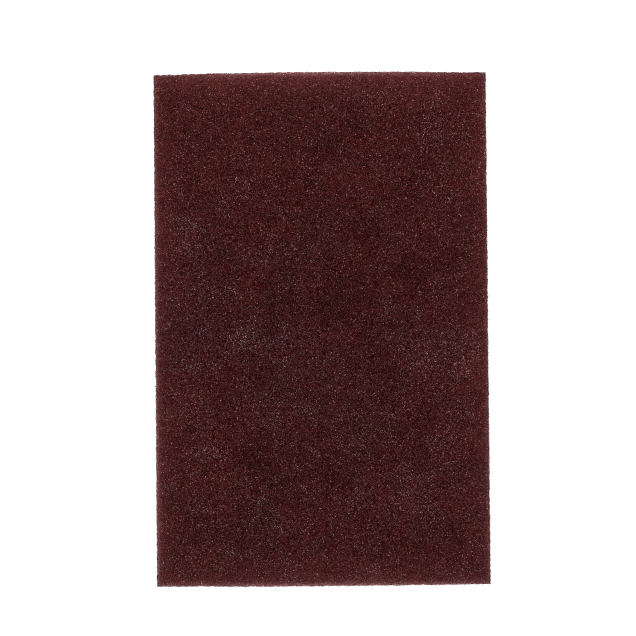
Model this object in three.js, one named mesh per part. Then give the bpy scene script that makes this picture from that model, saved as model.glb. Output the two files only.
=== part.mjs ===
// Non-woven hand pad: one rectangle of lofty fibre web, cut by a die.
// Millimetres, +Z up. The origin is the centre of the underside.
// +X runs across the pad, +Y runs along it to the far end.

import * as THREE from 'three';

// Overall size
const WIDTH = 150; // across the pad, halfway along its sides
const SIDE_LENGTH = 230.5; // from corner to corner along a side
const THICKNESS = 6.5; // from the underside to the upper face

// Outline that the die left
const WIDTH_TAPER = 0.7; // the near end is this much wider than the far end
const FAR_END_BOW = 0.9; // the far end bulges this far past its corners
const NEAR_END_BOW = 0.4; // the near end bulges this far past its corners
const FACE_CORNER_RADIUS = 0.3; // corners of the two flat faces

// Arrises: the die crushes the web's upper and lower edges into a small roll
const ROLL_WIDTH = 0.8; // measured in from the cut side
const ROLL_DEPTH = 0.9; // measured down from the face

// Facets
const BOW_STEPS = 24; // along each bowed end
const CORNER_STEPS = 6; // around each corner
const ROLL_STEPS = 5; // around each roll

const QUARTER_TURN = Math.PI / 2;

// Maroon resin over nylon fibre
function webMaterial() {
  return new THREE.MeshStandardMaterial({
    name: 'abrasive_web',
    color: 0x3f1d1d,
    roughness: 0.85,
    metalness: 0,
  });
}

// A quarter circle, anticlockwise, with its centre at (x, y).
function corner(x, y, radius, startAngle) {
  const arc = new THREE.EllipseCurve(
    x, y, radius, radius, startAngle, startAngle + QUARTER_TURN, false);
  return arc.getPoints(CORNER_STEPS);
}

// A bowed end from one corner to the other, without its two end points.
function bowedEnd(from, to, y, bow) {
  // The middle of a quadratic curve reaches half as far as its control point.
  const curve = new THREE.QuadraticBezierCurve(
    new THREE.Vector2(from, y), new THREE.Vector2(0, y + 2 * bow), new THREE.Vector2(to, y));
  return curve.getPoints(BOW_STEPS).slice(1, -1);
}

// The pad's outline at its widest, between the two rolls, anticlockwise.
function padOutline() {
  const radius = FACE_CORNER_RADIUS + ROLL_WIDTH;
  const nearHalfWidth = (WIDTH + WIDTH_TAPER / 2) / 2;
  const farHalfWidth = (WIDTH - WIDTH_TAPER / 2) / 2;
  const overallLength = SIDE_LENGTH + FAR_END_BOW + NEAR_END_BOW;
  const nearEnd = -overallLength / 2 + NEAR_END_BOW;
  const farEnd = nearEnd + SIDE_LENGTH;
  const nearInset = nearHalfWidth - radius;
  const farInset = farHalfWidth - radius;

  return new THREE.Shape([
    ...corner(nearInset, nearEnd + radius, radius, -QUARTER_TURN),
    ...corner(farInset, farEnd - radius, radius, 0),
    ...bowedEnd(farInset, -farInset, farEnd, FAR_END_BOW),
    ...corner(-farInset, farEnd - radius, radius, QUARTER_TURN),
    ...corner(-nearInset, nearEnd + radius, radius, 2 * QUARTER_TURN),
    ...bowedEnd(-nearInset, nearInset, nearEnd, -NEAR_END_BOW),
  ]);
}

// The web: the outline through the pad's thickness, with a roll along both arrises.
function webPad() {
  const geometry = new THREE.ExtrudeGeometry(padOutline(), {
    depth: THICKNESS - 2 * ROLL_DEPTH,
    steps: 1,
    bevelEnabled: true,
    bevelSize: ROLL_WIDTH,
    bevelOffset: -ROLL_WIDTH,
    bevelThickness: ROLL_DEPTH,
    bevelSegments: ROLL_STEPS,
  });
  const mesh = new THREE.Mesh(geometry, webMaterial());
  mesh.name = 'web_pad';
  mesh.position.z = ROLL_DEPTH;
  return mesh;
}

function handPad() {
  const pad = new THREE.Group();
  pad.name = 'hand_pad';
  pad.add(webPad());
  return pad;
}

export default handPad();
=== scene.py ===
import math
from collections import namedtuple
from functools import reduce
from itertools import product

import bpy
import numpy as np
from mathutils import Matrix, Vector


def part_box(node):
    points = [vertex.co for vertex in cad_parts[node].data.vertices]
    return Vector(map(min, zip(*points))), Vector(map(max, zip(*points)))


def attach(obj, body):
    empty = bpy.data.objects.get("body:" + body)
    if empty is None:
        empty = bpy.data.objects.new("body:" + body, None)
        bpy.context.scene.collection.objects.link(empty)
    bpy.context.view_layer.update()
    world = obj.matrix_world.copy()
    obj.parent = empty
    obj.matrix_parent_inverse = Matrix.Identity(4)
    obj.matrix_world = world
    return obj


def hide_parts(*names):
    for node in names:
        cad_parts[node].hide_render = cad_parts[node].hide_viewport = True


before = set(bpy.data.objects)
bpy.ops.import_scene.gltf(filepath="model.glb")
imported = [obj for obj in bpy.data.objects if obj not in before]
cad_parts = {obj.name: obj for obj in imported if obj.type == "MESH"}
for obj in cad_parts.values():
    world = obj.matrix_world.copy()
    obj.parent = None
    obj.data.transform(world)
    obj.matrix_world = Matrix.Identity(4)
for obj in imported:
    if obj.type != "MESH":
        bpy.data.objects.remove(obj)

# Non-woven hand pad: a rectangle of crimped nylon fibres, bonded by maroon resin that holds pale grain.
# Shapes are worked out in millimetres, and become metres when a mesh is made. +Y runs to the far end.

MM = 0.001
FULL_TURN = 2 * math.pi
TINY = 1e-9
UP = np.array((0.0, 0.0, 1.0))
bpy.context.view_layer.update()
PAD_LOW, PAD_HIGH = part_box("web_pad")

# The pad's cut outline, as the solid has it, and its crushed arrises
NEAR_WIDTH = (PAD_HIGH[0] - PAD_LOW[0]) / MM
LENGTH = (PAD_HIGH[1] - PAD_LOW[1]) / MM
THICKNESS = (PAD_HIGH[2] - PAD_LOW[2]) / MM
WIDTH_TAPER = 0.7
FAR_BOW = 0.9
NEAR_BOW = 0.4
NEAR_CORNER_Y = -LENGTH / 2 + NEAR_BOW
FAR_CORNER_Y = LENGTH / 2 - FAR_BOW
ROLL = 0.9  # the radius of a crushed arris, which on the solid is 0.8 wide and 0.9 deep

# The way out of the pad at its near end, right side, far end and left side
OUTWARDS = np.array([(0.0, -1.0), (1.0, 0.0), (0.0, 1.0), (-1.0, 0.0)])

# The bonded mass of the web, a little inside the outline and the faces that the loose fibres reach
SIDE_INSET = 0.22
FACE_INSET = 0.4
MASS_STEP = 0.95
ARRIS_INSETS = (0.0, 0.14, 0.36, 0.7, 1.2)  # grid lines by the arris, measured in from its side
SIDE_LEVELS = 6  # rows of faces up a cut side
MASS_ROUGHNESS = (-0.14, 0.08)  # how far out each point is moved, from a range
MASS_SUNK = 0.05
MASS_SEED = 21

# The web's unevenness: the height and size of its lumps and of its tufts, and a seed for each
LUMPS = (0.10, 7.0, 11)
TUFTS = (0.11, 2.3, 12)
NOISE_CELLS = 128

# All fibres. A pair is the range that each fibre draws its own value from.
FIBRE_RADIUS = 0.13
FIBRE_SIDES = 3
TIP_SHARE = 0.6  # the share of its radius that a fibre keeps at its two ends
TIP_DIP = 0.3  # how far a lying fibre's two ends dive into the web
CRIMP_WAVES = (3.2, 6.5)  # steps to a wave from side to side
CRIMP_SHARES = (0.5, 1.3)
STEP_SHARES = (0.75, 1.2)
RISE_WAVES = (2.6, 6.0)  # steps to a wave up and down
RISE_SWINGS = (0.04, 0.14)

# Fibres on the two faces, with angles in radians
FACE_STEP = 1.05
FACE_STEPS = 9
FACE_CRIMP = 0.75  # how far a path swings to each side
FACE_TURN = 0.35  # how much it turns with each step
FACE_START_INSETS = (1.0, 1.4)  # from the sides, and from the ends
FACE_MARGINS = (-0.15, 0.45)  # how far inside the cut outline a fibre stays
FACE_SHARES = (0.7, 1.25)  # of FIBRE_RADIUS
ACROSS_LEAN = 0.22  # how far headings are drawn towards lying across the pad
BEDDED_HEIGHTS = (-0.15, 0.1)
LOOSE_HEIGHTS = (-0.05, 0.22)

# Fibres on the cut sides, with angles in radians
SIDE_STEP = 0.75
SIDE_STEPS = 7
SIDE_CRIMP = 0.6
SIDE_TURN = 0.3
SIDE_TILT = 0.45  # off level
SIDE_START_GAP = 0.3  # from the two faces, where a fibre starts
SIDE_FACE_GAP = 0.12  # from the two faces, along all of it
SIDE_HEIGHTS = (-0.2, 0.17)
SIDE_SHARES = (0.65, 1.2)  # of FIBRE_RADIUS
SIDE_TONE_SPREAD = 4.0
ROLL_FOLLOWED = 0.8  # how much of the arris's curve the fibres on the side follow

# Fibre ends, thinner than the fibres that lie flat
END_POINTS = 4
END_SHARES = (0.5, 0.9)  # of FIBRE_RADIUS
CUT_END_GAP = 0.35  # from the two faces
CUT_END_ROOT = 0.7  # how deep inside the web it starts
CUT_END_REACH = (1.6, 0.14)  # the shape and scale of a gamma spread: most are short, and a few are long
CUT_END_SHORTFALL = 0.08
CUT_END_SLANT = 0.6
CUT_END_RISE = 0.35
CUT_END_SIDE_BEND = 0.2
CUT_END_UP_BEND = 0.12
STANDING_INSETS = (1.2, 1.6)  # from the sides, and from the ends
STANDING_LEANS = (0.5, 1.6)
STANDING_ROOT = 0.45
STANDING_RISES = (-0.05, 0.3)
STANDING_BEND = 0.2

# Colours. A tone is a place on the ramp from painted pore shade to bare grain, with how much resin and
# pale neutral it shows; the pale neutral is partly pale grain and partly painted sheen.
WHITE = (1, 1, 1, 1)
MAROON = (1.0, 0.08, 0.08)
TONES = (
    (0.0, 0.016, 0.0),
    (0.2, 0.054, 0.0015),
    (0.45, 0.080, 0.0105),
    (0.6, 0.094, 0.0285),
    (0.8, 0.131, 0.093),
    (1.0, 0.20, 0.34),
)
RED_TINT = (1.065, 0.937, 0.937, 1)
GREY_TINT = (0.925, 1.053, 1.053, 1)
BROWN_TINT = (1.0, 1.025, 0.955, 1)
PLUM_TINT = (1.0, 0.975, 1.045, 1)

# Soft round patches on the pad's flat: the middle and the reach of each. Pale and dull ones are ragged.
PALE_PATCHES = (
    (53, -12, 24), (42, -77, 20), (-32, -2, 14), (-52, -54, 15), (52, 99, 20), (-60, 42, 13),
)
DULL_PATCHES = (
    (9, 14, 24), (-18, 17, 16), (20, 44, 17), (-31, -60, 17), (27, -20, 16), (5, -64, 15), (9, 84, 14),
    (39, 26, 13),
)
COOL_PATCHES = ((-14, 24, 27), (-54, 2, 30), (-24, -8, 34), (8, -14, 28), (54, -6, 24), (47, -70, 20))
PATCH_WANDER = 16.0  # how far a ragged outline wanders
PATCH_WANDER_SIZE = 9.0  # the size of its bays

# Noise over the web: its size in mm, its detail, how far it is shifted in metres, and its stretch
Noise = namedtuple("Noise", "size detail offset stretch", defaults=[(1, 1, 1)])
GRAIN_NOISE = Noise(11, 3.0, (0.4, 0.3, 0))
CLOUDS = Noise(20, 3.0, (0.031, 0.017, 0))
STREAKS = Noise(3.2, 2.0, (0.2, 0.1, 0), (0.35, 1, 1))
PLUM_NOISE = Noise(9, 2.0, (0.5, 0.9, 0))
LIGHT_NOISE = Noise(16, 2.0, (0.7, 0.2, 0))

# The band of a noise that matters, and the two values that its ends become
GRAIN_SPAN = (0.36, 0.67, 0.05, 0.85)
GREY_SPAN = (0.38, 0.62, -0.12, 0.43)
PLUM_SPAN = (0.36, 0.64, 0.03, 0.81)
LIGHT_SPAN = (0.3, 0.7, 0.915, 1.085)
STREAK_LIGHT_SPAN = (0.3, 0.7, -0.05, 0.05)

# How much each cause changes the share of grain, the greyness, the plum tint and the lightness
PALE_GRAIN = 0.6
DULL_GRAIN = -0.45
CLOUD_GREYNESS = 0.7
STREAK_GREYNESS = 0.3
GRAIN_GREYNESS = 0.35
COOL_GREYNESS = 0.5
COOL_PLUM = 0.4
FAR_PLUM = -0.35
PALE_LIGHT = 0.18
DULL_LIGHT = -0.18

# The web turns redder towards the far end, between these two places along +Y
FAR_START = 15
FAR_FULL = 95
FAR_REDNESS = 0.6

# Grain held in the resin, with painted glints on clumps of pale grain and painted shade in pores
GRAIN_SIZE = 0.2
CLUMP_SIZE = 0.42
CLUMP_OFFSET = (0.11, 0.07, 0.03)
PAINTED_GLINT_POWERS = (28, 5.5)  # of the painted glints: where there is least grain, so that few clumps glint, and where there is most
PAINTED_GLINT_FALL = (0.75, 0.35)  # from a clump's edge to its core, as shares of a cell
# Painted shade in the pores between the fibres
PORE_SHADE_POWER = 5.2

# Painted rim light: the web is made paler towards its cut outline, for light that comes in through the
# open web at its edges, in a narrow band and a wide one, and how far in each reaches
NARROW_RIM_LIGHT = (0.72, 0.41, 0.425, 1)
WIDE_RIM_LIGHT = (0.072, 0.0175, 0.018, 1)
NARROW_REACH = 0.65
WIDE_REACH = 6.3

# Each side's axis and way, its distance from the middle, and the strength of its narrow and its wide
# painted rim light
SIDE_RIM_LIGHTS = (
    ("X", -1, NEAR_WIDTH / 2, 0.75, 0.76),
    ("X", 1, NEAR_WIDTH / 2, 0.40, 0.76),
    ("Y", 1, LENGTH / 2, 1.0, 1.6),
    ("Y", -1, LENGTH / 2, 1.05, 1.05),
)
RIM_LIGHT_LEAST = {"Narrow": 0.12, "Wide": 0.35}  # the share that is left halfway up a cut side
RIM_LIGHT_SIDE_BAND = (0.28, 0.48)  # of THICKNESS, away from halfway up
RIM_LIGHT_GRAIN_SHARES = (0.3, 1.7)  # of the narrow painted rim light, on the darkest and on the brightest grain

# Fine strands in the bonded web, in layers as (offset in metres, width, height)
STRAND_SPACING = 1.1
STRAND_DETAIL = 1.0
STRAND_CURL = 0.6
STRAND_LAYERS = (
    ((0.0, 0.0, 0.0), 0.07, 1.0),
    ((0.37, 0.222, 0.111), 0.08, 0.75),
    ((0.71, 0.426, 0.213), 0.09, 0.5),
)
STRAND_BUMP = 0.8
STRAND_DEPTH = 0.25  # how high the bump takes a strand to be

# A finish: what its tone is made of, and its roughness and gloss. The tone is a plain amount, with shares
# of the finish's own pattern, of the grain's brightness, of pale grain with painted glints, and of painted
# pore shade.
Finish = namedtuple("Finish", "plain own brightness glints pores roughness specular")
# The bonded web's lower plain tone is painted shade of the deeper web under the loose fibres
BONDED_WEB = Finish(
    plain=-0.08, own=0.25, brightness=0.65, glints=0.8, pores=-1.05, roughness=0.6, specular=0.01
)
COATED_FIBRE = Finish(
    plain=0.1, own=0.1, brightness=0.7, glints=0.9, pores=-1.05, roughness=0.45, specular=0.03
)

# Camera: how the photo shows the pad, in pixels, and the lens and the sensor
PHOTO_PIXELS = 636
PIXELS_PER_MM = 2.222
PAD_CENTRE_PIXEL = (321.6, 329.1)
PAD_TURN = math.radians(0.48)
LENS = 85.0
SENSOR = 36.0
FILTER_WIDTH = 1.1  # in pixels, narrower than Blender's own, for the photo's crispness

# Floor and world
FLOOR_RADIUS = 6000
FLOOR_SIDES = 96
FLOOR_DROP = 0.02
FLOOR_COLOUR = (0.8, 0.8, 0.8, 1)
FLOOR_ROUGHNESS = 0.9
FLOOR_SHOWN = 0.63  # the light that is added to the floor where it is seen directly, to make it white
WORLD_LIGHT = 0.5  # the world's strength where it lights things, and isn't seen directly

# The numbers of a Mix node's sockets that are for colours
MIX_FACTOR = 0
MIX_FIRST = 6
MIX_SECOND = 7
MIX_RESULT = 2


# Shapes

def soft_noise(points, size, seed):
    """Smooth noise from -1 to 1 that changes over about size, at an (n, 3) array of points."""
    lattice = np.random.default_rng(seed).uniform(-1, 1, (NOISE_CELLS,) * 3)
    spot = points / size
    cell = np.floor(spot).astype(int)
    part = spot - cell
    part = part * part * (3 - 2 * part)
    total = np.zeros(len(points))
    for corner in product((0, 1), repeat=3):
        x, y, z = ((cell + corner) % NOISE_CELLS).T
        total += lattice[x, y, z] * np.where(corner, part, 1 - part).prod(axis=1)
    return total


def half_width(y):
    """Half the pad's width at y."""
    along = (y - NEAR_CORNER_Y) / (FAR_CORNER_Y - NEAR_CORNER_Y)
    return (NEAR_WIDTH - WIDTH_TAPER * along) / 2


def end_y(x, corner_y, bow):
    """Where a bowed end crosses x."""
    return corner_y + bow * (1 - (2 * x / NEAR_WIDTH) ** 2)


def inside_by(x, y):
    """How far inside the cut sides and the cut ends a point lies."""
    from_side = half_width(y) - np.abs(x)
    from_end = np.minimum(end_y(x, FAR_CORNER_Y, FAR_BOW) - y, y - end_y(x, NEAR_CORNER_Y, -NEAR_BOW))
    return from_side, from_end


def roll_drop(from_side, from_end):
    """How far the crushed arris lies below the flat face."""
    reach = np.hypot(np.clip(ROLL - from_side, 0, ROLL), np.clip(ROLL - from_end, 0, ROLL))
    reach = np.minimum(reach, ROLL)
    return ROLL - np.sqrt(ROLL ** 2 - reach ** 2)


def make_mesh(name, points, quads, tris=()):
    """A mesh object from points in millimetres and faces as arrays of point numbers."""
    mesh = bpy.data.meshes.new(name)
    corners = np.concatenate([np.asarray(faces).ravel() for faces in (quads, tris) if len(faces)])
    sizes = np.repeat((4, 3), (len(quads), len(tris)))
    mesh.vertices.add(len(points))
    mesh.vertices.foreach_set("co", (points * MM).astype(np.float32).ravel())
    mesh.loops.add(len(corners))
    mesh.loops.foreach_set("vertex_index", corners.astype(np.int32))
    mesh.polygons.add(len(sizes))
    mesh.polygons.foreach_set("loop_start", (np.cumsum(sizes) - sizes).astype(np.int32))
    mesh.polygons.foreach_set("use_smooth", np.ones(len(sizes), bool))
    mesh.update(calc_edges=True)
    mesh.validate()
    piece = bpy.data.objects.new(name, mesh)
    bpy.context.scene.collection.objects.link(piece)
    return piece


# The web's bonded mass

def grid_lines(half):
    """Lines across the mass from -half to half, close together at the arrises."""
    insets = np.array(ARRIS_INSETS)
    inner = half - insets[-1]
    count = round(2 * inner / MASS_STEP)
    middle = np.linspace(-inner, inner, count + 1)[1:-1]
    return np.concatenate([-half + insets, middle, half - insets[::-1]])


def mass_grid():
    """The x and y of a grid of points that fills the outline, a little inside it."""
    half_x = NEAR_WIDTH / 2 - SIDE_INSET
    half_y = (FAR_CORNER_Y - NEAR_CORNER_Y) / 2 - SIDE_INSET
    across, along = np.meshgrid(grid_lines(half_x), grid_lines(half_y), indexing="ij")
    far = end_y(across, FAR_CORNER_Y, FAR_BOW) - SIDE_INSET
    near = end_y(across, NEAR_CORNER_Y, -NEAR_BOW) + SIDE_INSET
    y = near + (far - near) * (along / half_y + 1) / 2
    x = across / half_x * (half_width(y) - SIDE_INSET)
    return x, y


def grid_quads(number):
    """The faces of a grid of point numbers, seen from above."""
    corners = [number[:-1, :-1], number[1:, :-1], number[1:, 1:], number[:-1, 1:]]
    return np.stack(corners, -1).reshape(-1, 4)


def grid_rim(number):
    """The outermost points of a grid of point numbers, anticlockwise."""
    return np.concatenate([number[:-1, 0], number[-1, :-1], number[:0:-1, -1], number[0, :0:-1]])


def wall_quads(rows):
    """The faces of a wall around the mass, from rows of point numbers, lowest first."""
    pairs = zip(rows, rows[1:])
    return [np.stack([low, np.roll(low, -1), np.roll(high, -1), high], -1) for low, high in pairs]


def web_mass():
    """Two faces with crushed arrises and the cut sides between them, all of them uneven."""
    x, y = mass_grid()
    side, end = inside_by(x, y)
    drop = roll_drop(side - SIDE_INSET, end - SIDE_INSET)
    upper = np.stack([x, y, THICKNESS - FACE_INSET - drop], -1).reshape(-1, 3)
    under = np.stack([x, y, FACE_INSET + drop], -1).reshape(-1, 3)

    number = np.arange(x.size).reshape(x.shape)
    rim = grid_rim(number)
    levels = np.linspace(0, 1, SIDE_LEVELS + 1)[1:-1]
    walls = [under[rim] + (upper[rim] - under[rim]) * level for level in levels]
    points = np.concatenate([upper, under] + walls)

    first_wall = 2 * x.size
    rows = [rim + x.size]
    rows += [first_wall + i * len(rim) + np.arange(len(rim)) for i in range(len(levels))]
    rows += [rim]
    face = grid_quads(number)
    quads = np.concatenate([face, face[:, ::-1] + x.size] + wall_quads(rows))
    piece = make_mesh("web_mass", points, quads)
    roughen(piece, points)
    return piece


def surface_height(points):
    """The web's unevenness at a point of its surface, outwards."""
    return sum(height * soft_noise(points, size, seed) for height, size, seed in (LUMPS, TUFTS))


def roughen(piece, points):
    """Moves the mass's points in and out along its normals."""
    mesh = piece.data
    normals = np.empty(len(points) * 3, np.float32)
    mesh.vertex_normals.foreach_get("vector", normals)
    rng = np.random.default_rng(MASS_SEED)
    depth = surface_height(points) + rng.uniform(*MASS_ROUGHNESS, len(points)) - MASS_SUNK
    moved = points + normals.reshape(-1, 3) * depth[:, None]
    mesh.vertices.foreach_set("co", (moved * MM).astype(np.float32).ravel())
    mesh.update()


# Fibres

def direction(angle):
    """The flat direction of each angle."""
    return np.stack([np.cos(angle), np.sin(angle)], -1)


def crimped_paths(rng, starts, headings, steps, step, crimp, turn):
    """Paths on a flat sheet that wave from side to side and slowly turn, as (fibres, steps + 1, 2)."""
    count = len(starts)
    wave = rng.uniform(*CRIMP_WAVES, (count, 1))
    phase = rng.uniform(0, FULL_TURN, (count, 1))
    swing = crimp * rng.uniform(*CRIMP_SHARES, (count, 1))
    drift = np.cumsum(rng.normal(0, turn, (count, steps)), axis=1)
    angle = headings[:, None] + drift + swing * np.sin(phase + FULL_TURN * np.arange(steps) / wave)
    moves = step * rng.uniform(*STEP_SHARES, (count, steps))[..., None] * direction(angle)
    return np.concatenate([starts[:, None], starts[:, None] + np.cumsum(moves, axis=1)], axis=1)


def rise_and_fall(rng, count, steps, heights):
    """How far each point of a path stands out of the web, about heights drawn from a range."""
    wave = rng.uniform(*RISE_WAVES, (count, 1))
    phase = rng.uniform(0, FULL_TURN, (count, 1))
    middle = rng.uniform(*heights, (count, 1))
    swing = rng.uniform(*RISE_SWINGS, (count, 1))
    height = middle + swing * np.sin(phase + FULL_TURN * np.arange(steps + 1) / wave)
    height[:, [0, -1]] -= TIP_DIP
    return height


def tube_points(paths, facing, radius, rng):
    """Rings of points around (fibres, rings, 3) paths. facing is a direction across each path."""
    count, rings = paths.shape[:2]
    ahead = np.gradient(paths, axis=1)
    ahead /= np.linalg.norm(ahead, axis=2, keepdims=True)
    across = np.cross(ahead, facing)
    across /= np.maximum(np.linalg.norm(across, axis=2, keepdims=True), TINY)
    out = np.cross(across, ahead)
    size = np.broadcast_to(radius, (count, rings)).copy()
    size[:, [0, -1]] *= TIP_SHARE
    turns = rng.uniform(0, FULL_TURN, (count, 1, 1)) + FULL_TURN * np.arange(FIBRE_SIDES) / FIBRE_SIDES
    ring = np.cos(turns)[..., None] * across[:, :, None] + np.sin(turns)[..., None] * out[:, :, None]
    return (paths[:, :, None] + ring * size[:, :, None, None]).reshape(-1, 3)


def tube_faces(count, rings):
    """The sides and the two end caps of count tubes, each with that many rings."""
    first = (np.arange(count)[:, None] * rings + np.arange(rings - 1)) * FIBRE_SIDES
    side = np.arange(FIBRE_SIDES)
    beside = (side + 1) % FIBRE_SIDES
    low, high = first[..., None], first[..., None] + FIBRE_SIDES
    quads = np.stack([low + side, low + beside, high + beside, high + side], -1).reshape(-1, 4)
    start = np.arange(count)[:, None] * rings * FIBRE_SIDES
    end = start + (rings - 1) * FIBRE_SIDES
    caps = np.concatenate([start + side[::-1], end + side])
    return quads, caps


def fibre_piece(name, rng, paths, facing, shares, tone_spread=1.0):
    """Closed tubes along (fibres, rings, 3) paths, each with a radius and a tone of its own."""
    count, rings = paths.shape[:2]
    radius = FIBRE_RADIUS * rng.uniform(*shares, (count, 1))
    points = tube_points(paths, facing, radius, rng)
    piece = make_mesh(name, points, *tube_faces(count, rings))
    tone = 0.5 + tone_spread * rng.uniform(-0.5, 0.5, count)
    layer = piece.data.attributes.new("fibre_tone", "FLOAT", "POINT")
    layer.data.foreach_set("value", np.repeat(tone, rings * FIBRE_SIDES).astype(np.float32))
    return piece


def scattered(rng, count, insets):
    """Random places on the pad's flat, that far inside its sides and its ends."""
    half = np.array((NEAR_WIDTH, LENGTH)) / 2 - insets
    return rng.uniform(-half, half, (count, 2))


def keep_inside(paths, margin):
    """Draws each path in towards its start until all of it lies that far inside the cut outline."""
    start = paths[:, :1]
    move = paths - start
    margin = margin[:, None]
    half_x = half_width(start[..., 1]) - margin
    far = end_y(start[..., 0], FAR_CORNER_Y, FAR_BOW) - margin
    near = end_y(start[..., 0], NEAR_CORNER_Y, -NEAR_BOW) + margin
    reach_x = np.where(move[..., 0] > 0, half_x - start[..., 0], half_x + start[..., 0])
    reach_y = np.where(move[..., 1] > 0, far - start[..., 1], start[..., 1] - near)
    share = np.minimum(reach_x / (np.abs(move[..., 0]) + TINY), reach_y / (np.abs(move[..., 1]) + TINY))
    return start + move * np.minimum(share.min(axis=1), 1)[:, None, None]


def face_fibres(name, seed, count, heights, upper=True):
    """Fibres that lie on the upper face or the underside."""
    rng = np.random.default_rng(seed)
    starts = scattered(rng, count, FACE_START_INSETS)
    headings = rng.uniform(0, FULL_TURN, count)
    headings -= ACROSS_LEAN * np.sin(2 * headings)
    flat = crimped_paths(rng, starts, headings, FACE_STEPS, FACE_STEP, FACE_CRIMP, FACE_TURN)
    flat = keep_inside(flat, rng.uniform(*FACE_MARGINS, count))
    x, y = flat[..., 0], flat[..., 1]
    side, end = inside_by(x, y)
    out = rise_and_fall(rng, count, FACE_STEPS, heights)
    level = THICKNESS - 2 * FIBRE_RADIUS - roll_drop(side, end)
    on_face = np.stack([x, y, level], -1).reshape(-1, 3)
    z = level + (out + surface_height(on_face).reshape(out.shape))
    if not upper:
        z = np.maximum(THICKNESS - z, FIBRE_RADIUS)
    return fibre_piece(name, rng, np.stack([x, y, z], -1), UP, FACE_SHARES)


def outline_at(distance):
    """The cut outline's point and outward direction, that far anticlockwise from the near left corner."""
    near_half, far_half = half_width(NEAR_CORNER_Y), half_width(FAR_CORNER_Y)
    side = FAR_CORNER_Y - NEAR_CORNER_Y
    starts = np.cumsum([0, 2 * near_half, side, 2 * far_half])
    distance = distance % (starts[-1] + side)
    edge = np.searchsorted(starts, distance, side="right") - 1
    gone = distance - starts[edge]
    x_near, x_far = -near_half + gone, far_half - gone
    y_up, y_down = NEAR_CORNER_Y + gone, FAR_CORNER_Y - gone
    y_near = end_y(x_near, NEAR_CORNER_Y, -NEAR_BOW)
    y_far = end_y(x_far, FAR_CORNER_Y, FAR_BOW)
    x = np.choose(edge, [x_near, half_width(y_up), x_far, -half_width(y_down)])
    y = np.choose(edge, [y_near, y_up, y_far, y_down])
    return np.stack([x, y], -1), OUTWARDS[edge]


def outline_length():
    """The length of the cut outline, as outline_at measures it."""
    return 2 * (half_width(NEAR_CORNER_Y) + half_width(FAR_CORNER_Y) + FAR_CORNER_Y - NEAR_CORNER_Y)


def rolled_in(z):
    """How far the arrises' curve draws in what lies on a cut side at that height."""
    from_face = np.minimum(z, THICKNESS - z)
    return ROLL_FOLLOWED * roll_drop(from_face, np.full_like(from_face, ROLL))


def keep_between_faces(paths):
    """Flattens each path on a cut side until all of it lies between the two faces."""
    start = paths[:, :1]
    move = paths - start
    highest = THICKNESS - SIDE_FACE_GAP
    room = np.where(move[..., 1] > 0, highest - start[..., 1], start[..., 1] - SIDE_FACE_GAP)
    share = np.minimum((room / (np.abs(move[..., 1]) + TINY)).min(axis=1), 1)
    return start + move * np.stack([np.ones(len(paths)), share], -1)[:, None]


def side_fibres(name, seed, count):
    """Fibres that lie on the cut sides, mostly level, as the web's layers are."""
    rng = np.random.default_rng(seed)
    start_along = rng.uniform(0, outline_length(), count)
    start_z = rng.uniform(SIDE_START_GAP, THICKNESS - SIDE_START_GAP, count)
    starts = np.stack([start_along, start_z], -1)
    headings = rng.normal(0, SIDE_TILT, count) + math.pi * rng.integers(0, 2, count)
    paths = crimped_paths(rng, starts, headings, SIDE_STEPS, SIDE_STEP, SIDE_CRIMP, SIDE_TURN)
    paths = keep_between_faces(paths)
    z = paths[..., 1]
    foot, outwards = outline_at(paths[..., 0])
    out = rise_and_fall(rng, count, SIDE_STEPS, SIDE_HEIGHTS) - FIBRE_RADIUS
    flat = foot + outwards * (out - rolled_in(z))[..., None]
    paths = np.concatenate([flat, z[..., None]], axis=-1)
    facing = np.concatenate([outwards, np.zeros_like(z)[..., None]], axis=-1)
    return fibre_piece(name, rng, paths, facing, SIDE_SHARES, SIDE_TONE_SPREAD)


def short_paths(start, end, bend):
    """Paths from start to end, as (ends, 3) arrays, whose middles are moved by bend."""
    along = np.linspace(0, 1, END_POINTS)[:, None]
    return start[:, None] + (end - start)[:, None] * along + bend[:, None] * 4 * along * (1 - along)


def cut_ends(name, seed, count):
    """Short fibre ends that the die left standing out of the cut sides."""
    rng = np.random.default_rng(seed)
    foot, outwards = outline_at(rng.uniform(0, outline_length(), count))
    z = rng.uniform(CUT_END_GAP, THICKNESS - CUT_END_GAP, count)
    inset = rolled_in(z)
    sideways = np.stack([-outwards[:, 1], outwards[:, 0]], -1)
    reach = rng.gamma(*CUT_END_REACH, count) - CUT_END_SHORTFALL
    slant = rng.normal(0, CUT_END_SLANT, count)
    rise = rng.normal(0, CUT_END_RISE, count)
    start = np.column_stack([foot - outwards * (inset + CUT_END_ROOT)[:, None], z])
    tip = foot + outwards * (reach - inset)[:, None] + sideways * slant[:, None]
    end = np.column_stack([tip, np.clip(z + rise, FIBRE_RADIUS, THICKNESS - FIBRE_RADIUS)])
    side_bend = sideways * rng.normal(0, CUT_END_SIDE_BEND, (count, 1))
    bend = np.column_stack([side_bend, rng.normal(0, CUT_END_UP_BEND, count)])
    return fibre_piece(name, rng, short_paths(start, end, bend), UP, END_SHARES)


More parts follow.
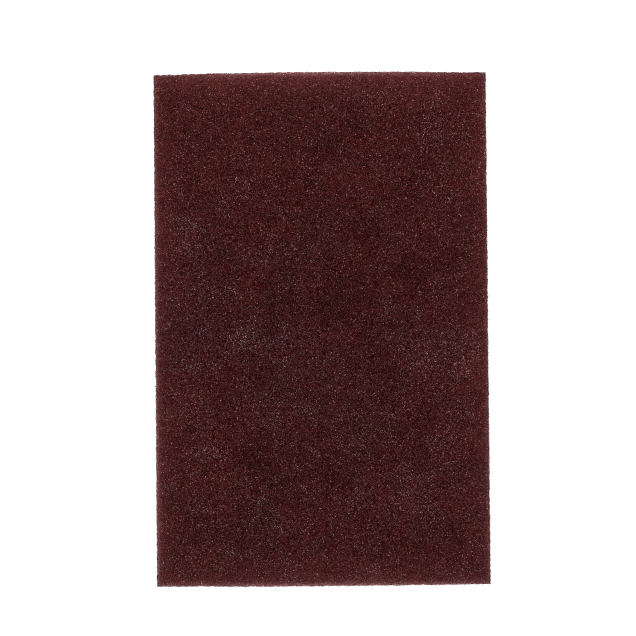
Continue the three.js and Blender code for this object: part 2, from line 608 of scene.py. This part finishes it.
def standing_ends(name, seed, count):
    """Short fibre ends that lean out of the upper face."""
    rng = np.random.default_rng(seed)
    foot = scattered(rng, count, STANDING_INSETS)
    heading = rng.uniform(0, FULL_TURN, count)
    lean = rng.uniform(*STANDING_LEANS, count)
    top = foot + lean[:, None] * direction(heading)
    side, end = inside_by(top[:, 0], top[:, 1])
    level = THICKNESS - FIBRE_RADIUS - roll_drop(side, end)
    rise = rng.uniform(*STANDING_RISES, count)
    start = np.column_stack([foot, level - STANDING_ROOT])
    end = np.column_stack([top, level + rise])
    flat_bend = rng.normal(0, STANDING_BEND, (count, 2))
    bend = np.column_stack([flat_bend, rng.uniform(0, STANDING_BEND, count)])
    across = np.column_stack([-np.sin(heading), np.cos(heading), np.zeros(count)])
    return fibre_piece(name, rng, short_paths(start, end, bend), across[:, None], END_SHARES)


# Materials

class Tree:
    """Adds and joins the nodes of one material or group."""

    def __init__(self, tree):
        self.tree = tree

    def add(self, kind, **settings):
        """A new node with these settings."""
        made = self.tree.nodes.new(kind)
        for name, value in settings.items():
            setattr(made, name, value)
        return made

    def put(self, socket, value):
        """Joins an output to a socket, or sets the socket to a plain value."""
        if isinstance(value, bpy.types.NodeSocket):
            self.tree.links.new(value, socket)
        else:
            socket.default_value = value

    def filled(self, kind, values, **settings):
        """The outputs of a new node that has these values in its first inputs."""
        made = self.add(kind, **settings)
        for i, value in enumerate(values):
            self.put(made.inputs[i], value)
        return made.outputs

    def placed(self, group, **values):
        """The outputs of a node group placed here. A _ in a value's name stands for a space."""
        made = self.add("ShaderNodeGroup", node_tree=group)
        for name, value in values.items():
            self.put(made.inputs[name.replace("_", " ")], value)
        return made.outputs

    def where(self):
        """The place on the piece, in metres."""
        return self.add("ShaderNodeTexCoord").outputs["Object"]

    def axes(self, where):
        """The X, Y and Z of a place."""
        return self.filled("ShaderNodeSeparateXYZ", [where])

    def math(self, operation, *values, clamp=False):
        """The result of an operation on one or two values."""
        return self.filled("ShaderNodeMath", values, operation=operation, use_clamp=clamp)[0]

    def plus(self, total, value, share, clamp=False):
        """A total with that share of a value added."""
        return self.math("ADD", total, self.math("MULTIPLY", value, share), clamp=clamp)

    def greatest(self, values):
        """The greatest of several values."""
        return reduce(lambda most, value: self.math("MAXIMUM", most, value), values)

    def vector(self, operation, *values):
        """The outputs of an operation on vectors."""
        return self.filled("ShaderNodeVectorMath", values, operation=operation)

    def span(self, value, low, high, to_low=0.0, to_high=1.0, smooth=True):
        """A value between low and high carried over to between to_low and to_high, and no further."""
        shape = "SMOOTHSTEP" if smooth else "LINEAR"
        values = (value, low, high, to_low, to_high)
        return self.filled("ShaderNodeMapRange", values, interpolation_type=shape)["Result"]

    def mix(self, share, first, second, blend="MIX", clamp=False):
        """Two colours mixed, with that share of the second."""
        made = self.add("ShaderNodeMix", data_type="RGBA", blend_type=blend, clamp_result=clamp)
        self.put(made.inputs[MIX_FACTOR], share)
        self.put(made.inputs[MIX_FIRST], first)
        self.put(made.inputs[MIX_SECOND], second)
        return made.outputs[MIX_RESULT]

    def moved(self, where, offset, stretch=(1, 1, 1)):
        """A place stretched, then shifted by offset."""
        made = self.add("ShaderNodeMapping")
        self.put(made.inputs["Vector"], where)
        made.inputs["Location"].default_value = offset
        made.inputs["Scale"].default_value = stretch
        return made.outputs["Vector"]

    def noise(self, where, settings):
        """Soft noise from 0 to 1, as the settings say."""
        made = self.add("ShaderNodeTexNoise")
        self.put(made.inputs["Vector"], self.moved(where, settings.offset, settings.stretch))
        made.inputs["Scale"].default_value = 1 / (settings.size * MM)
        made.inputs["Detail"].default_value = settings.detail
        return made.outputs["Fac"]


def new_group(name, inputs, outputs):
    """A node group with inputs as (name, kind, value) and outputs as (name, kind).

    Gives back the group, the tree to build it in, and its sockets inside for what comes in and goes out.
    """
    group = bpy.data.node_groups.new(name, "ShaderNodeTree")
    for label, kind, value in inputs:
        socket = group.interface.new_socket(label, in_out="INPUT", socket_type=kind)
        socket.default_value = value
    for label, kind in outputs:
        group.interface.new_socket(label, in_out="OUTPUT", socket_type=kind)
    tree = Tree(group)
    return group, tree, tree.add("NodeGroupInput").outputs, tree.add("NodeGroupOutput").inputs


def coated(resin, grain):
    """The colour of so much maroon resin with so much pale neutral on it, which is pale grain and painted
    sheen.
    """
    return tuple(resin * part + grain for part in MAROON) + (1,)


def web_colour_group():
    """The web's colour from painted pore shade, at 0, through coated fibre, at 0.5, to bare grain with
    painted sheen, at 1.
    """
    group, tree, given, out = new_group(
        "web_colour", [("Tone", "NodeSocketFloat", 0.5)], [("Color", "NodeSocketColor")]
    )
    ramp = tree.add("ShaderNodeValToRGB")
    stops = ramp.color_ramp.elements
    while len(stops) < len(TONES):
        stops.new(0.5)
    for stop, (at, resin, grain) in zip(stops, TONES):
        stop.position = at
        stop.color = coated(resin, grain)
    tree.put(ramp.inputs[0], given["Tone"])
    tree.put(out["Color"], ramp.outputs["Color"])
    return group


def patch_strength(tree, flat, patches):
    """The most that any of the patches covers a place."""
    covers = []
    for x, y, reach in patches:
        gap = tree.vector("DISTANCE", flat, (x * MM, y * MM, 0))["Value"]
        covers.append(tree.span(gap, reach * MM, 0.0))
    return tree.greatest(covers)


def ragged_place(tree, where):
    """The place on the pad's flat, shifted to and fro so that a round patch gets a ragged outline."""
    wander = tree.add("ShaderNodeTexNoise")
    tree.put(wander.inputs["Vector"], where)
    wander.inputs["Scale"].default_value = 1 / (PATCH_WANDER_SIZE * MM)
    reach = (PATCH_WANDER * MM, PATCH_WANDER * MM, 0)
    middle = (-PATCH_WANDER / 2 * MM, -PATCH_WANDER / 2 * MM, 0)
    shifted = tree.vector("MULTIPLY_ADD", wander.outputs["Color"], reach, where)["Vector"]
    return tree.vector("MULTIPLY", tree.moved(shifted, middle), (1, 1, 0))["Vector"]


def grain_share(tree, where, pale, dull):
    """How much of the grain shows, which is more in the pale patches and less in the dull ones."""
    share = tree.plus(tree.span(tree.noise(where, GRAIN_NOISE), *GRAIN_SPAN), pale, PALE_GRAIN)
    return tree.plus(share, dull, DULL_GRAIN, clamp=True)


def how_grey(tree, where, streaks, share, cool, far):
    """From redder, at 0, to greyer web, at 1: greyer where grain shows, and redder at the far end."""
    clouds = tree.math("MULTIPLY", tree.noise(where, CLOUDS), CLOUD_GREYNESS)
    greyness = tree.span(tree.plus(clouds, streaks, STREAK_GREYNESS), *GREY_SPAN)
    greyness = tree.plus(greyness, share, GRAIN_GREYNESS)
    greyness = tree.plus(greyness, cool, COOL_GREYNESS)
    return tree.math("SUBTRACT", greyness, far, clamp=True)


def how_plum(tree, where, cool, far):
    """From browner, at 0, to more plum-coloured web, at 1."""
    plumness = tree.plus(tree.span(tree.noise(where, PLUM_NOISE), *PLUM_SPAN), cool, COOL_PLUM)
    return tree.plus(plumness, far, FAR_PLUM, clamp=True)


def how_light(tree, where, streaks, pale, dull):
    """What the web's colour is multiplied by, near 1."""
    light = tree.plus(tree.span(tree.noise(where, LIGHT_NOISE), *LIGHT_SPAN), pale, PALE_LIGHT)
    light = tree.plus(light, dull, DULL_LIGHT)
    return tree.math("ADD", light, tree.span(streaks, *STREAK_LIGHT_SPAN))


def mottle_group():
    """How the web changes over the pad: its share of grain, and how grey, plum or light it is."""
    group, tree, given, out = new_group(
        "resin_mottle",
        [("Color", "NodeSocketColor", WHITE)],
        [("Color", "NodeSocketColor"), ("Grain Share", "NodeSocketFloat")],
    )
    where = tree.where()
    ragged = ragged_place(tree, where)
    pale = patch_strength(tree, ragged, PALE_PATCHES)
    dull = patch_strength(tree, ragged, DULL_PATCHES)
    cool = patch_strength(tree, where, COOL_PATCHES)
    far = tree.span(tree.axes(where)["Y"], FAR_START * MM, FAR_FULL * MM, 0.0, FAR_REDNESS)
    streaks = tree.noise(where, STREAKS)

    share = grain_share(tree, where, pale, dull)
    grey_tint = tree.mix(how_grey(tree, where, streaks, share, cool, far), RED_TINT, GREY_TINT)
    plum_tint = tree.mix(how_plum(tree, where, cool, far), BROWN_TINT, PLUM_TINT)
    colour = tree.mix(1.0, given["Color"], grey_tint, "MULTIPLY")
    colour = tree.mix(1.0, colour, plum_tint, "MULTIPLY")
    colour = tree.mix(1.0, colour, how_light(tree, where, streaks, pale, dull), "MULTIPLY")
    tree.put(out["Grain Share"], share)
    tree.put(out["Color"], colour)
    return group


def random_cells(tree, where, size_mm):
    """Cells of about that size: three random numbers for each, and how far a place is from its middle."""
    cells = tree.add("ShaderNodeTexVoronoi", feature="F1")
    tree.put(cells.inputs["Vector"], where)
    tree.put(cells.inputs["Scale"], tree.math("DIVIDE", 1 / MM, size_mm))
    chance = tree.filled("ShaderNodeSeparateColor", [cells.outputs["Color"]])
    return chance, cells.outputs["Distance"]


def grain_group():
    """Grain in the resin: each bit has its own brightness; some clumps are pale grain with painted glints,
    and some are painted shade of pores.
    """
    group, tree, given, out = new_group(
        "held_grain",
        [
            ("Grain Size", "NodeSocketFloat", GRAIN_SIZE),
            ("Clump Size", "NodeSocketFloat", CLUMP_SIZE),
            ("Share", "NodeSocketFloat", 0.5),
        ],
        [("Brightness", "NodeSocketFloat"), ("Glints", "NodeSocketFloat"), ("Pores", "NodeSocketFloat")],
    )
    where = tree.where()
    bits, _ = random_cells(tree, where, given["Grain Size"])
    tree.put(out["Brightness"], bits["Green"])
    clumps, from_middle = random_cells(tree, tree.moved(where, CLUMP_OFFSET), given["Clump Size"])
    # Painted glints: rare bright clumps of pale grain, rarer where there is less grain
    rare = tree.math("POWER", clumps["Red"], tree.span(given["Share"], 0, 1, *PAINTED_GLINT_POWERS, smooth=False))
    tree.put(out["Glints"], tree.math("MULTIPLY", rare, tree.span(from_middle, *PAINTED_GLINT_FALL)))
    # Painted shade in the pores: dark clumps
    tree.put(out["Pores"], tree.math("POWER", clumps["Blue"], PORE_SHADE_POWER))
    return group


def painted_rim_light_group():
    """Painted rim light: two falls inwards from the cut outline, narrow and wide, both weaker halfway up a
    cut side.
    """
    group, tree, given, out = new_group(
        "painted_rim_light",
        [("Narrow Reach", "NodeSocketFloat", NARROW_REACH), ("Wide Reach", "NodeSocketFloat", WIDE_REACH)],
        [("Narrow", "NodeSocketFloat"), ("Wide", "NodeSocketFloat")],
    )
    axes = tree.axes(tree.where())
    falls = {"Narrow": [], "Wide": []}
    for axis, way, half, narrow, wide in SIDE_RIM_LIGHTS:
        gap = tree.math("SUBTRACT", half * MM, tree.math("MULTIPLY", axes[axis], way))
        gap = tree.math("MULTIPLY", tree.math("MAXIMUM", gap, 0.0), -1 / MM)
        for name, strength in (("Narrow", narrow), ("Wide", wide)):
            fall = tree.math("EXPONENT", tree.math("DIVIDE", gap, given[name + " Reach"]))
            falls[name].append(tree.math("MULTIPLY", fall, strength))
    off_middle = tree.math("ABSOLUTE", tree.math("SUBTRACT", axes["Z"], THICKNESS / 2 * MM))
    low, high = (share * THICKNESS * MM for share in RIM_LIGHT_SIDE_BAND)
    for name, least in RIM_LIGHT_LEAST.items():
        near_face = tree.span(off_middle, low, high, least, 1.0)
        tree.put(out[name], tree.math("MULTIPLY", tree.greatest(falls[name]), near_face))
    return group


def tangle_group():
    """Fine curled strands, in layers that cross each other."""
    group, tree, given, out = new_group(
        "fibre_tangle",
        [("Strand Spacing", "NodeSocketFloat", STRAND_SPACING)],
        [("Strands", "NodeSocketFloat")],
    )
    where = tree.where()
    scale = tree.math("DIVIDE", 1 / MM, given["Strand Spacing"])
    layers = []
    for offset, width, height in STRAND_LAYERS:
        field = tree.add("ShaderNodeTexNoise")
        tree.put(field.inputs["Vector"], tree.moved(where, offset))
        tree.put(field.inputs["Scale"], scale)
        field.inputs["Detail"].default_value = STRAND_DETAIL
        field.inputs["Distortion"].default_value = STRAND_CURL
        off_line = tree.math("ABSOLUTE", tree.math("SUBTRACT", field.outputs["Fac"], 0.5))
        layers.append(tree.span(off_line, width, 0.0, 0.0, height))
    tree.put(out["Strands"], tree.greatest(layers))
    return group


def new_material(name):
    """A material with only a Principled shader, the tree to build it in, and the shader."""
    made = bpy.data.materials.new(name)
    made.use_nodes = True
    made.node_tree.nodes.clear()
    tree = Tree(made.node_tree)
    shader = tree.add("ShaderNodeBsdfPrincipled")
    output = tree.add("ShaderNodeOutputMaterial")
    tree.put(output.inputs["Surface"], shader.outputs[0])
    return made, tree, shader


def finish_colour(tree, groups, own, finish):
    """A finish's colour: a tone from its own pattern and the grain with its painted glints and painted
    pore shade, then the mottle and the painted rim light.
    """
    share = tree.placed(groups["mottle"])["Grain Share"]
    grain = tree.placed(groups["grain"], Grain_Size=GRAIN_SIZE, Clump_Size=CLUMP_SIZE, Share=share)
    tone = tree.math("MULTIPLY", own, finish.own)
    tone = tree.plus(tone, grain["Brightness"], finish.brightness)
    # Pale grain with painted glints
    tone = tree.plus(tone, grain["Glints"], finish.glints)
    # Painted shade in the pores
    tone = tree.plus(tone, grain["Pores"], finish.pores)
    tone = tree.math("ADD", tone, finish.plain)
    colour = tree.placed(groups["colour"], Tone=tone)["Color"]
    colour = tree.placed(groups["mottle"], Color=colour)["Color"]

    # Painted rim light: paler colour added near the cut outline, the narrow band broken up by the grain
    rim = tree.placed(groups["rim"], Narrow_Reach=NARROW_REACH, Wide_Reach=WIDE_REACH)
    colour = tree.mix(rim["Wide"], colour, WIDE_RIM_LIGHT, "ADD")
    broken_up = tree.span(grain["Brightness"], 0, 1, *RIM_LIGHT_GRAIN_SHARES, smooth=False)
    narrow = tree.math("MULTIPLY", rim["Narrow"], broken_up)
    return tree.mix(narrow, colour, NARROW_RIM_LIGHT, "ADD", clamp=True)


def web_finish(name, finish):
    """A material with a finish's roughness and gloss, the tree to build it in, and its shader."""
    made, tree, shader = new_material(name)
    shader.inputs["Roughness"].default_value = finish.roughness
    shader.inputs["Specular IOR Level"].default_value = finish.specular
    return made, tree, shader


def bonded_web_material(groups):
    """The web between and under the loose fibres: darker, as painted shade of the deeper web, with fine
    strands of its own.
    """
    made, tree, shader = web_finish("bonded_web", BONDED_WEB)
    strands = tree.placed(groups["tangle"], Strand_Spacing=STRAND_SPACING)["Strands"]
    tree.put(shader.inputs["Base Color"], finish_colour(tree, groups, strands, BONDED_WEB))
    bump = tree.add("ShaderNodeBump")
    bump.inputs["Strength"].default_value = STRAND_BUMP
    bump.inputs["Distance"].default_value = STRAND_DEPTH * MM
    tree.put(bump.inputs["Height"], strands)
    tree.put(shader.inputs["Normal"], bump.outputs[0])
    return made


def coated_fibre_material(groups):
    """Resin-coated nylon, each fibre a little lighter or darker, with grain stuck to it."""
    made, tree, shader = web_finish("coated_fibre", COATED_FIBRE)
    own_tone = tree.add("ShaderNodeAttribute", attribute_name="fibre_tone").outputs["Fac"]
    tree.put(shader.inputs["Base Color"], finish_colour(tree, groups, own_tone, COATED_FIBRE))
    return made


def web_materials():
    """The two finishes of the web, which share their groups."""
    groups = {
        "colour": web_colour_group(),
        "mottle": mottle_group(),
        "grain": grain_group(),
        "rim": painted_rim_light_group(),
        "tangle": tangle_group(),
    }
    return bonded_web_material(groups), coated_fibre_material(groups)


# Setting

def camera():
    """Straight down, with the pad a little off centre and turned, as it lies in the photo."""
    data = bpy.data.cameras.new("camera")
    data.lens = LENS
    data.sensor_width = SENSOR
    eye = bpy.data.objects.new("camera", data)
    width = PHOTO_PIXELS / PIXELS_PER_MM * MM
    away = width / SENSOR * LENS
    right = (PHOTO_PIXELS / 2 - PAD_CENTRE_PIXEL[0]) / PIXELS_PER_MM * MM
    up = (PAD_CENTRE_PIXEL[1] - PHOTO_PIXELS / 2) / PIXELS_PER_MM * MM
    eye.location = (right, up, THICKNESS * MM + away)
    eye.rotation_euler = (0, 0, -PAD_TURN)
    bpy.context.scene.collection.objects.link(eye)
    bpy.context.scene.camera = eye


def soft_lamp(name, location, size, watts):
    """A square lamp that faces the pad."""
    data = bpy.data.lights.new(name, "AREA")
    data.size = size
    data.energy = watts
    lamp = bpy.data.objects.new(name, data)
    lamp.location = location
    lamp.rotation_euler = (-Vector(location)).to_track_quat("-Z", "Y").to_euler()
    lamp.visible_camera = False
    bpy.context.scene.collection.objects.link(lamp)


def seen_directly(tree):
    """1 for a ray from the camera, a reflection or a refraction."""
    path = tree.add("ShaderNodeLightPath").outputs
    seen = tree.math("ADD", path["Is Camera Ray"], path["Is Glossy Ray"])
    return tree.math("ADD", seen, path["Is Transmission Ray"], clamp=True)


def pale_surroundings():
    """A world that lights the pad softly, and shows white where it is seen."""
    world = bpy.data.worlds.new("pale_surroundings")
    world.use_nodes = True
    world.node_tree.nodes.clear()
    tree = Tree(world.node_tree)
    background = tree.add("ShaderNodeBackground")
    background.inputs["Color"].default_value = WHITE
    strength = tree.span(seen_directly(tree), 0, 1, WORLD_LIGHT, 1.0, smooth=False)
    tree.put(background.inputs["Strength"], strength)
    tree.put(tree.add("ShaderNodeOutputWorld").inputs["Surface"], background.outputs[0])
    bpy.context.scene.world = world


def floor():
    """A wide white disc that shows white, apart from the pad's soft shadow."""
    ring = np.arange(FLOOR_SIDES)
    rim = direction(ring * FULL_TURN / FLOOR_SIDES) * FLOOR_RADIUS
    rim = np.column_stack([rim, np.zeros(FLOOR_SIDES)])
    points = np.concatenate([[[0, 0, 0]], rim])
    tris = np.stack([np.zeros(FLOOR_SIDES, int), 1 + ring, 1 + (ring + 1) % FLOOR_SIDES], -1)
    disc = make_mesh("floor", points, np.zeros((0, 4), int), tris)
    disc.location.z = -FLOOR_DROP * MM
    made, tree, shader = new_material("white_floor")
    shader.inputs["Base Color"].default_value = FLOOR_COLOUR
    shader.inputs["Roughness"].default_value = FLOOR_ROUGHNESS
    shader.inputs["Specular IOR Level"].default_value = 0.0
    shader.inputs["Emission Color"].default_value = WHITE
    tree.put(shader.inputs["Emission Strength"], tree.math("MULTIPLY", seen_directly(tree), FLOOR_SHOWN))
    disc.data.materials.append(made)


def stand_for_the_web(piece, material):
    """Gives a piece its material, and puts it in place of the pad's solid."""
    piece.data.materials.append(material)
    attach(piece, "root")
    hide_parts("web_pad")


camera()
web_material, fibre_material = web_materials()

mass = web_mass()
stand_for_the_web(mass, web_material)
for piece in (
    face_fibres("upper_fibres_bedded", seed=31, count=3400, heights=BEDDED_HEIGHTS),
    face_fibres("upper_fibres_loose", seed=32, count=3400, heights=LOOSE_HEIGHTS),
    face_fibres("underside_fibres", seed=33, count=3000, heights=BEDDED_HEIGHTS, upper=False),
    side_fibres("cut_side_fibres", seed=34, count=3400),
    cut_ends("cut_side_ends", seed=35, count=2200),
    standing_ends("upper_face_ends", seed=36, count=2600),
):
    stand_for_the_web(piece, fibre_material)

floor()
pale_surroundings()
soft_lamp("key_softbox", location=(-0.35, 0.5, 0.75), size=0.5, watts=3.8)
soft_lamp("fill_softbox", location=(0.5, -0.25, 0.9), size=0.7, watts=2.35)
bpy.context.scene.view_settings.view_transform = "Standard"
bpy.context.scene.cycles.use_denoising = False  # the denoiser takes the fine web for noise and smears it
bpy.context.scene.cycles.filter_width = FILTER_WIDTH
